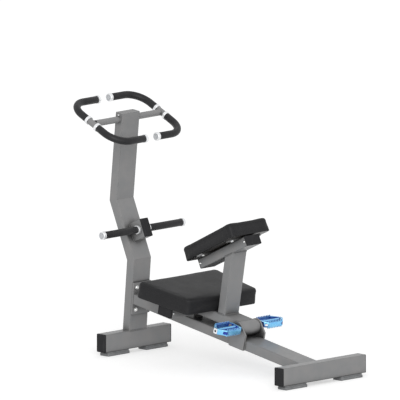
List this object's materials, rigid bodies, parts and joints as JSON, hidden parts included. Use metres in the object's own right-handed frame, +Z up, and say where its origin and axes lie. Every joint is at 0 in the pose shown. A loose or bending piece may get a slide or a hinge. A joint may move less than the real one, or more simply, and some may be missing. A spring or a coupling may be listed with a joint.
{
  "type": "stretching machine",
  "caption": "Floor-standing stretching machine: kneed column with a handle hoop and a cross bar, rocking seat frame with seat and saddle pads, and two toothed pedals.",
  "frame": {"origin": "centre of the object's bounding box in plan, at floor level under the foot pads", "axes": "+Z up, -Y towards the pedals and the front foot, +Y towards the column, +X to the right seen from the column"},
  "size_m": [0.571, 1.5422, 1.2416],
  "materials": {
    "black_plastic": "fine grained",
    "black_rubber": "matt moulded",
    "black_vinyl": "grained upholstery vinyl",
    "blue_anodised_aluminium": "blue anodised",
    "bright_aluminium": "polished",
    "bronze": "plain sintered bush",
    "grey_rubber": "matt moulded",
    "grip_rubber": "matt, fine texture",
    "plywood": "black-stained plywood",
    "powder_coated_steel": "satin powder coat",
    "turned_steel": "turned",
    "zinc_plated_steel": "bright zinc plate"
  },
  "bodies": {
    "floor_frame": {"rear_foot_tube": "powder_coated_steel", "rear_foot_cap_left": "black_plastic", "rear_foot_pad_left": "grey_rubber", "rear_foot_cap_right": "black_plastic", "rear_foot_pad_right": "grey_rubber", "front_foot_tube": "powder_coated_steel", "front_foot_cap_left": "black_plastic", "front_foot_pad_left": "grey_rubber", "front_foot_cap_right": "black_plastic", "front_foot_pad_right": "grey_rubber", "main_beam": "powder_coated_steel", "flange_bolt_lower_left": "zinc_plated_steel", "flange_bolt_upper_left": "zinc_plated_steel", "flange_bolt_lower_right": "zinc_plated_steel", "flange_bolt_upper_right": "zinc_plated_steel", "column_tube": "powder_coated_steel", "cheek_plate_left": "powder_coated_steel", "cheek_plate_right": "powder_coated_steel", "pivot_shaft": "turned_steel", "stop_bumper": "black_rubber", "handle_cross_tube": "powder_coated_steel", "hoop_bar_left": "powder_coated_steel", "hoop_grip_front_left": "grip_rubber", "hoop_collar_front_left": "bright_aluminium", "hoop_end_cap_front_left": "bright_aluminium", "hoop_grip_rear_left": "grip_rubber", "hoop_collar_rear_left": "bright_aluminium", "hoop_end_cap_rear_left": "bright_aluminium", "hoop_bar_right": "powder_coated_steel", "hoop_grip_front_right": "grip_rubber", "hoop_collar_front_right": "bright_aluminium", "hoop_end_cap_front_right": "bright_aluminium", "hoop_grip_rear_right": "grip_rubber", "hoop_collar_rear_right": "bright_aluminium", "hoop_end_cap_rear_right": "bright_aluminium", "mid_handle_bar": "powder_coated_steel", "mid_handle_stub_cap": "black_plastic", "mid_grip_left": "grip_rubber", "mid_collar_left": "bright_aluminium", "mid_end_cap_left": "bright_aluminium", "mid_grip_right": "grip_rubber", "mid_collar_right": "bright_aluminium", "mid_end_cap_right": "bright_aluminium", "pedal_spindle_left": "turned_steel", "pedal_spindle_right": "turned_steel"},
    "seat_frame": {"rocker_rail": "powder_coated_steel", "cross_tube_cap_left": "black_plastic", "cross_tube_cap_right": "black_plastic", "pivot_housing": "powder_coated_steel", "pivot_bush": "bronze", "seat_post_tube": "powder_coated_steel", "seat_board": "plywood", "seat_cushion": "black_vinyl", "saddle_support": "powder_coated_steel", "support_cap_rear": "black_plastic", "support_cap_front": "black_plastic", "saddle_board": "plywood", "saddle_cushion": "black_vinyl"},
    "left_pedal": {"pedal_left": "blue_anodised_aluminium"},
    "right_pedal": {"pedal_right": "blue_anodised_aluminium"}
  },
  "joints": [
    {"name": "seat_rocking", "type": "hinge", "parent": "floor_frame", "child": "seat_frame", "pos_m": [0, -0.23507, 0.21], "axis": [1, 0, 0], "range_deg": [0, 12]},
    {"name": "left_pedal_spin", "type": "hinge", "parent": "floor_frame", "child": "left_pedal", "pos_m": [-0.152, -0.24589, 0.22436], "axis": [1, 0, 0], "continuous": true},
    {"name": "right_pedal_spin", "type": "hinge", "parent": "floor_frame", "child": "right_pedal", "pos_m": [0.152, -0.24589, 0.22436], "axis": [1, 0, 0], "continuous": true}
  ]
}
